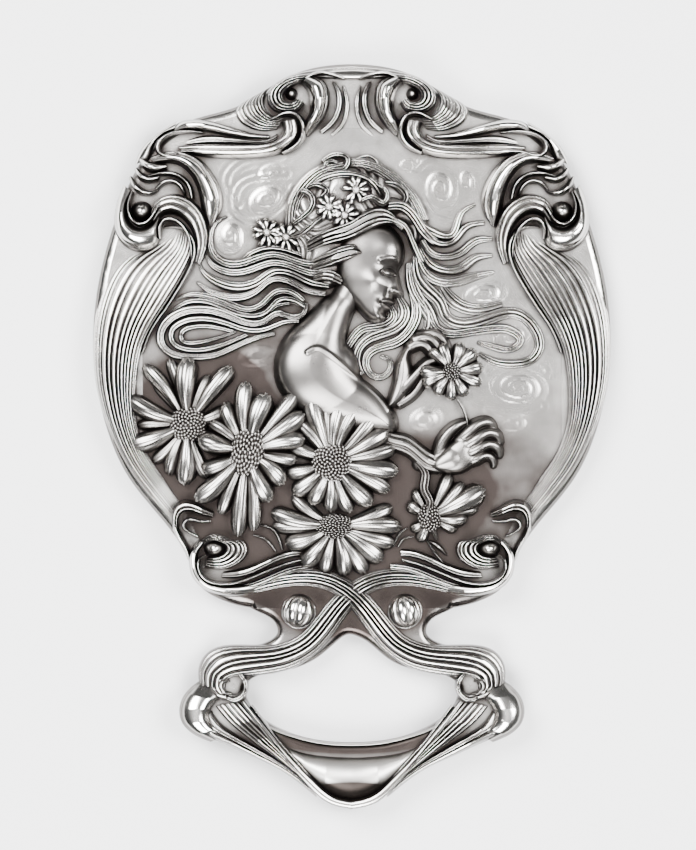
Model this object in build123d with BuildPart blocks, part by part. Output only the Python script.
"""Hand mirror with a looped handle, lying on its rim with the ornament upwards.

Two struck silver shells make the head and two make the handle. Between the head's shells lie an oval
bevelled glass, its silvering and the packing behind it. Scrolls, ribbons, flowers and the figure stand on
the outside. Millimetres: +X right, +Y towards the top of the head, +Z up, Z = 0 under the rim.
"""

import os
from build123d import *

os.makedirs("parts", exist_ok=True)

# Overall size
LENGTH = 250.0
TOP_Y = LENGTH / 2
SEAT_Y = -57.5  # where the handle is soldered to the head
SEAT_HALF = 34.0

# Levels, from the table upwards
SEAM_Z = 5.0
FIELD_Z = 10.0  # the flat the ornament stands on, the same on head and handle
GRIP_FLOOR_Z = 1.5
GRIP_SEAM_Z = 6.0

# Sheet and rounding
SHEET = 1.0
HEAD_ROUND = 3.0
GRIP_ROUND = 2.5

# Glass and what lies behind it
OVAL_CENTRE = (0, 34)
GLASS_X, GLASS_Y = 66.0, 70.0
LIP = 2.0  # how far the rim laps over the glass
GLASS_FRONT_Z, GLASS_BACK_Z = 0.3, 4.5
BEVEL_WIDE, BEVEL_DEEP = 10.0, 0.9
SILVER_T = 0.1
PAPER_T = 0.3
FELT_T = 1.0
BOARD_T = 2.4
PACKING_GAP = 0.3

OUTLINE_STEPS = 60  # points taken along an outline when it is moved inwards

# Right half of each outline, from the top of the piece down; the left half mirrors it
HEAD_EDGE = [
    (0, TOP_Y), (22, 120.5), (38, 111), (55, 105.8), (68.5, 95.5), (77.5, 78), (85, 52), (86.8, 28),
    (83, 5), (74.5, -14.5), (62, -30), (54.5, -42.5), (51.5, -49.5), (44.5, -54.6), (SEAT_HALF, SEAT_Y),
]
GRIP_EDGE = [
    (SEAT_HALF, SEAT_Y), (30, -59.5), (26, -62.2), (25, -65.8), (28.5, -69), (35, -70.6), (43, -71.8),
    (48.8, -75.5), (50.8, -81), (53, -85.5), (55.8, -89), (56.3, -93), (53, -97.5), (46, -101),
    (34, -106.5), (20, -114), (11, -120), (0, -TOP_Y),
]
LOOP_EDGE = [
    (0, -66.5), (5, -68.8), (12, -74.5), (20, -78), (30, -79.8), (35.2, -83), (35, -88.5), (29.5, -95),
    (20, -99.8), (10, -102.4), (0, -103),
]

# Ornament in pairs: node, height, edge radius, outline of the right-hand one
PAIRED_ORNAMENT = [
    ("top_scroll", 6.0, 1.0,
     [(2.5, 118), (10, 121), (18, 118.5), (25, 114.5), (30, 109.8), (31, 106.8), (24, 106), (17, 106),
      (9, 104), (3.5, 108.5)]),
    ("top_leaf", 5.0, 0.7,
     [(16.5, 100), (20, 103), (33, 102.3), (45, 103.5), (54, 102.8), (59, 99.8), (56, 97.5), (50, 95.5),
      (38, 93.5), (24, 94)]),
    ("shoulder_scroll", 6.5, 1.0,
     [(44.3, 76), (46, 84), (51, 90), (58, 93), (64.5, 91.5), (69.5, 86), (73, 78), (74.3, 71.5),
      (72.5, 67.8), (65, 67), (57, 72.5), (51, 71), (47, 68.5)]),
    ("side_ribbon", 4.0, 1.2,
     [(51.5, 60.5), (57.5, 64), (65, 61.5), (76, 59), (81, 49), (83, 35), (82.6, 19), (78.5, 3),
      (70.5, -9), (62, -16.5), (54, -19.5), (47, -20.5), (45.5, -16), (52, -8), (60, 1), (66, 9),
      (68.3, 18), (66.3, 27), (59.5, 40), (53.5, 51)]),
    ("low_scroll", 6.0, 1.2,
     [(46, -24.5), (52, -23.3), (56, -26), (56, -31), (53, -36.5), (51, -42), (46, -46), (39, -45.5),
      (35.5, -41), (38, -35.5), (45.5, -32), (49.5, -28.8), (46.3, -27.3)]),
    ("knuckle", 3.5, 1.0,
     [(37, -83.5), (41, -81), (46, -80.2), (48.6, -82.3), (49.5, -85.5), (52, -88.5), (53, -91.5),
      (50.5, -94), (46, -92), (41, -89.7), (37.3, -87.8)]),
    ("bail_ribbon", 2.5, 0,
     [(36, -91.2), (41, -93.2), (45, -95.6), (46, -98.2), (39, -101.8), (30, -106), (20, -111.3),
      (11, -117), (7, -118.3), (13, -112.5), (20, -105.2), (28, -97.9)]),
]
SHIELD_EDGE = [
    (0, -105), (10, -104.3), (20, -101.8), (25, -99.2), (19, -104), (12, -110.5), (6, -114.8), (0, -116.8),
]
SHIELD_TALL = 1.5

# Two ribbons cross at the neck, halved into each other; this is the line of the one on top
CROSSING = [
    (-33, -50.8), (-22, -49.6), (-11, -51), (-1, -56.5), (7, -64), (15.5, -71.3), (25, -74.3), (34, -75.2),
    (41, -75.9),
]
CROSSING_WIDE, CROSSING_TALL, CROSSING_ROUND = 6.0, 4.0, 1.0
BUD_X, BUD_Y, BUD_R, BUD_TALL = 17.5, -59.5, 4.2, 3.0

# Flowers: node, centre, tip radius, eye radius, level of the petals, number of petals
DAISIES = [
    ("daisy_far_left", (-54.5, 4.5), 17.0, 6.2, 14.3, 14),
    ("daisy_left", (-34.5, -4.5), 15.5, 6.0, 16.4, 15),
    ("daisy_centre", (-6.5, -8.5), 15.0, 6.8, 14.3, 15),
    ("daisy_low", (-5.5, -30), 14.0, 6.0, 12.2, 15),
    ("daisy_right", (26, -24), 13.0, 4.5, 12.2, 12),
    ("daisy_in_hand", (33.5, 21.5), 9.0, 3.4, 15.2, 13),
    ("hair_daisy_outer", (-29, 68.4), 3.4, 1.5, 12.0, 9),
    ("hair_daisy_inner", (-21.6, 67), 3.4, 1.5, 12.0, 9),
]
CROWN_DAISIES = [("crown_daisy_left", (-7, 77)), ("crown_daisy_middle", (1.7, 83)),
                 ("crown_daisy_right", (12.5, 79.5))]
CROWN_TALL = 5.5
PETAL_T = 1.2
EYE_TALL = 2.8
STEM_R = 0.8
STEM_START, STEM_END = (34.6, 16), (38.0, 7.6)

# Figure and hair: node, height, edge radius, whole outline
FIGURE = [
    ("figure_shoulder", 4.5, 1.5,
     [(-11, 45), (-3, 41.5), (1, 33), (4, 25), (8.5, 17), (11, 10.5), (8, 8.5), (0, 9.5), (-8, 10.5),
      (-16, 12.5), (-22.5, 17.5), (-24.5, 26), (-19.5, 35)]),
    ("figure_head", 10.0, 2.0,
     [(0, 68.3), (8, 69.7), (15, 67.5), (18.3, 60), (18.3, 52), (14, 44.7), (8.5, 39.8), (2, 43.8),
      (-4.3, 48.5), (-5.8, 57)]),
    ("hair_crown", CROWN_TALL, 2.0,
     [(-17.3, 76), (-15.5, 86), (-8, 92.8), (3, 93.3), (13, 88), (21, 80), (25.5, 72.5), (22, 70),
      (15, 72), (7, 73.5), (-2, 72), (-8.5, 67.5), (-13.5, 68)]),
    ("hair_left", 4.0, 1.2,
     [(-9.5, 61), (-8.7, 57), (-8.5, 51.5), (-15.5, 48.8), (-24.5, 40), (-29, 30), (-34.5, 26),
      (-42, 27), (-53, 27), (-58, 31.5), (-55, 40), (-48, 48.5), (-44, 59), (-42.5, 68), (-39, 71),
      (-34.5, 63), (-24, 60)]),
    ("hair_right", 2.5, 0.7,
     [(23, 65), (30, 67), (38, 72), (41.5, 69), (43.5, 58), (50, 44), (58, 31), (60, 18), (56, 10),
      (50.5, 8.5), (47.5, 14), (47, 25), (38, 34), (27, 36.8), (18.5, 37.5), (20.5, 43), (23, 51)]),
    ("hand_raised", 4.5, 0.7,
     [(16, 13.5), (15.2, 20), (17.5, 27.5), (21, 32.3), (27, 31.5), (30.5, 27.3), (28.5, 25.5),
      (24, 27), (20.8, 23.5), (25, 21.5), (24.5, 18.5), (19.5, 13.8)]),
    ("hand_low", 3.5, 0.5,
     [(27.5, -9.3), (29.3, -4), (33.3, 1.3), (38, 3.8), (42.8, 5.2), (46.5, 1), (47.5, -4.5),
      (44.5, -8), (40, -9.5), (34, -9.7)]),
]


def store(piece, label):
    """Names a finished piece and writes it."""
    piece.part.label = label
    export_step(piece.part, f"parts/{label}.step")


def mirrored(points):
    """The same points on the other side of the middle, in the opposite order."""
    return [(-x, y) for x, y in reversed(points)]


def closed_face(points):
    """A smooth closed outline, filled."""
    with BuildSketch() as face:
        with BuildLine():
            Spline(*points, periodic=True)
        make_face()
    return face.sketch


def moved(points, amount, closed=False):
    """The smooth line through some points, moved to the right of its direction."""
    if amount == 0:
        return points
    line = Spline(*points, periodic=closed)
    shifted = []
    for step in range(OUTLINE_STEPS if closed else OUTLINE_STEPS + 1):
        place = line @ (step / OUTLINE_STEPS)
        along = line % (step / OUTLINE_STEPS)
        shifted.append((place.X + along.Y * amount, place.Y - along.X * amount))
    return shifted


def seated_face(points):
    """A smooth outline closed by one straight edge between its two ends."""
    with BuildSketch() as face:
        with BuildLine():
            Spline(*points)
            Line(points[-1], points[0])
        make_face()
    return face.sketch


def head_face(inset=0.0):
    """The head's outline, or a smaller one inside it."""
    edge = moved(mirrored(HEAD_EDGE[1:]) + HEAD_EDGE, inset)
    return seated_face([(x, y) for x, y in edge if y >= SEAT_Y + inset])


def grip_face(inset=0.0):
    """The handle's outline with the finger loop cut out of it, or the same with all its edges moved in."""
    edge = moved(GRIP_EDGE + mirrored(GRIP_EDGE[:-1]), inset)
    loop = moved(LOOP_EDGE + mirrored(LOOP_EDGE[1:-1]), -inset, closed=True)
    with BuildSketch() as face:
        add(seated_face([(x, y) for x, y in edge if y <= SEAT_Y - inset]))
        add(closed_face(loop), mode=Mode.SUBTRACT)
    return face.sketch


def oval(half_x, half_y):
    """An ellipse on the glass's centre."""
    with BuildSketch() as face:
        with Locations(OVAL_CENTRE):
            Ellipse(half_x, half_y)
    return face.sketch


def slab(face, low, high):
    """A face made solid between two levels."""
    with BuildPart() as body:
        with BuildSketch(Plane.XY.offset(low)):
            add(face)
        extrude(amount=high - low)
    return body


def rounded_slab(face, low, high, radius, round_top=True):
    """A slab with one of its rims rounded."""
    with BuildPart() as body:
        add(slab(face, low, high).part)
        rim_face = body.faces().sort_by(Axis.Z)[-1 if round_top else 0]
        if radius > 0:
            curved = [edge for edge in rim_face.edges() if edge.geom_type != GeomType.LINE]
            fillet(curved, radius)
    return body


def tray(face_at, low, high, radius, open_at_top):
    """A thin shell with its outer rim rounded, open at the seam; the hollow steps in beside the rounding."""
    straight = (low + radius, high) if open_at_top else (low, high - radius)
    whole = (low + SHEET, high) if open_at_top else (low, high - SHEET)
    with BuildPart() as shell:
        add(rounded_slab(face_at(), low, high, radius, not open_at_top).part)
        add(slab(face_at(SHEET), *straight).part, mode=Mode.SUBTRACT)
        add(slab(face_at(radius), *whole).part, mode=Mode.SUBTRACT)
    return shell


def make_head():
    """The rim round the glass and the back that carries the ornament, soldered together at the seam."""
    with BuildPart() as rim:
        add(tray(head_face, 0, SEAM_Z, HEAD_ROUND, True).part)
        add(slab(oval(GLASS_X - LIP, GLASS_Y - LIP), 0, SHEET).part, mode=Mode.SUBTRACT)
    store(rim, "rim_frame")
    store(tray(head_face, SEAM_Z, FIELD_Z, HEAD_ROUND, False), "back_shell")


def make_glass():
    """The bevelled glass and the silvering on its back."""
    with BuildPart() as glass:
        add(slab(oval(GLASS_X, GLASS_Y), GLASS_FRONT_Z, GLASS_BACK_Z).part)
        front = glass.faces().sort_by(Axis.Z)[0]
        chamfer(front.edges(), length=BEVEL_WIDE, length2=BEVEL_DEEP, reference=front)
    store(glass, "mirror_glass")
    store(slab(oval(GLASS_X - SHEET, GLASS_Y - SHEET), GLASS_BACK_Z, GLASS_BACK_Z + SILVER_T), "silvering")


def make_packing():
    """Card round the glass, then paper, felt, a thin wooden board and the pitch behind the back."""
    inside = head_face(HEAD_ROUND)
    paper_z = GLASS_BACK_Z + SILVER_T
    felt_z = paper_z + PAPER_T
    board_z = felt_z + FELT_T
    pitch_z = board_z + BOARD_T
    with BuildPart() as card:
        add(slab(inside, SHEET, paper_z).part)
        add(slab(oval(GLASS_X + PACKING_GAP, GLASS_Y + PACKING_GAP), SHEET, paper_z).part, mode=Mode.SUBTRACT)
    store(card, "card_packing")
    store(slab(inside, paper_z, felt_z), "backing_paper")
    store(slab(inside, felt_z, board_z), "felt_pad")
    store(slab(inside, board_z, pitch_z), "backing_board")
    store(slab(inside, pitch_z, FIELD_Z - SHEET), "pitch_filling")


def make_grip():
    """The handle's hollow rear and front halves."""
    store(tray(grip_face, GRIP_FLOOR_Z, GRIP_SEAM_Z, GRIP_ROUND, True), "handle_rear_shell")
    store(tray(grip_face, GRIP_SEAM_Z, FIELD_Z, GRIP_ROUND, False), "handle_front_shell")


def make_pair(node, height, edge, outline):
    """A right-hand ornament and its mirror image."""
    for side, turn in (("right", 1), ("left", -1)):
        face = closed_face([(turn * x, y) for x, y in outline])
        store(rounded_slab(face, FIELD_Z, FIELD_Z + height, edge), f"{node}_{side}")


def ribbon_face(points):
    """A flat band of one width along a smooth line."""
    with BuildSketch() as band:
        with BuildLine() as centre:
            Spline(*points)
        trace(centre.line, line_width=CROSSING_WIDE)
    return band.sketch


def make_crossing():
    """The two neck ribbons, the upper one cut away below and the lower one above where they meet."""
    over_face = ribbon_face(CROSSING)
    under_face = ribbon_face(mirrored(CROSSING))
    top = FIELD_Z + CROSSING_TALL
    middle = FIELD_Z + CROSSING_TALL / 2
    with BuildPart() as over:
        add(slab(over_face, FIELD_Z, top).part)
        add(slab(under_face, FIELD_Z, middle).part, mode=Mode.SUBTRACT)
    store(over, "crossing_ribbon_over")
    with BuildPart() as under:
        add(slab(under_face, FIELD_Z, top).part)
        add(slab(over_face, middle, top).part, mode=Mode.SUBTRACT)
    store(under, "crossing_ribbon_under")
    for side, turn in (("right", 1), ("left", -1)):
        with BuildSketch() as disc:
            with Locations((turn * BUD_X, BUD_Y)):
                Circle(BUD_R)
        store(rounded_slab(disc.sketch, FIELD_Z, FIELD_Z + BUD_TALL, BUD_TALL / 2), f"bud_{side}")


def make_daisy(label, centre, tip, eye, petal_z, petals, foot_z=FIELD_Z):
    """Flat petals round a raised eye, on a foot that stands on the surface below."""
    inner = eye / 2
    with BuildPart() as flower:
        if petal_z > foot_z:
            with BuildSketch(Plane.XY.offset(foot_z)):
                with Locations(centre):
                    Circle(eye * 0.6)
            extrude(amount=petal_z - foot_z)
        with BuildSketch(Plane.XY.offset(petal_z)):
            with Locations(centre):
                Circle(eye)
                with PolarLocations((tip + inner) / 2, petals):
                    Ellipse((tip - inner) / 2, tip * 0.16)
        extrude(amount=PETAL_T)
        with BuildSketch(Plane.XY.offset(petal_z + PETAL_T)):
            with Locations(centre):
                Circle(eye)
        extrude(amount=min(EYE_TALL, eye) - PETAL_T)
        fillet(flower.faces().sort_by(Axis.Z)[-1].edges(), min(EYE_TALL, eye) - PETAL_T - 0.2)
    store(flower, label)


def make_stem():
    """The stalk of the flower in the hand, lying on the field."""
    start = Vector(*STEM_START, FIELD_Z + STEM_R)
    end = Vector(*STEM_END, FIELD_Z + STEM_R)
    with BuildPart() as stem:
        with BuildSketch(Plane(origin=start, z_dir=end - start)):
            Circle(STEM_R)
        extrude(amount=(end - start).length)
    store(stem, "daisy_stem")


make_head()
make_glass()
make_packing()
make_grip()
for row in PAIRED_ORNAMENT:
    make_pair(*row)
store(rounded_slab(closed_face(SHIELD_EDGE + mirrored(SHIELD_EDGE[1:-1])), FIELD_Z,
                   FIELD_Z + SHIELD_TALL, 0), "bail_shield")
make_crossing()
for node, height, edge, outline in FIGURE:
    store(rounded_slab(closed_face(outline), FIELD_Z, FIELD_Z + height, edge), node)
for row in DAISIES:
    make_daisy(*row)
for node, centre in CROWN_DAISIES:
    make_daisy(node, centre, 3.4, 1.5, FIELD_Z + CROWN_TALL, 9, FIELD_Z + CROWN_TALL)
make_stem()
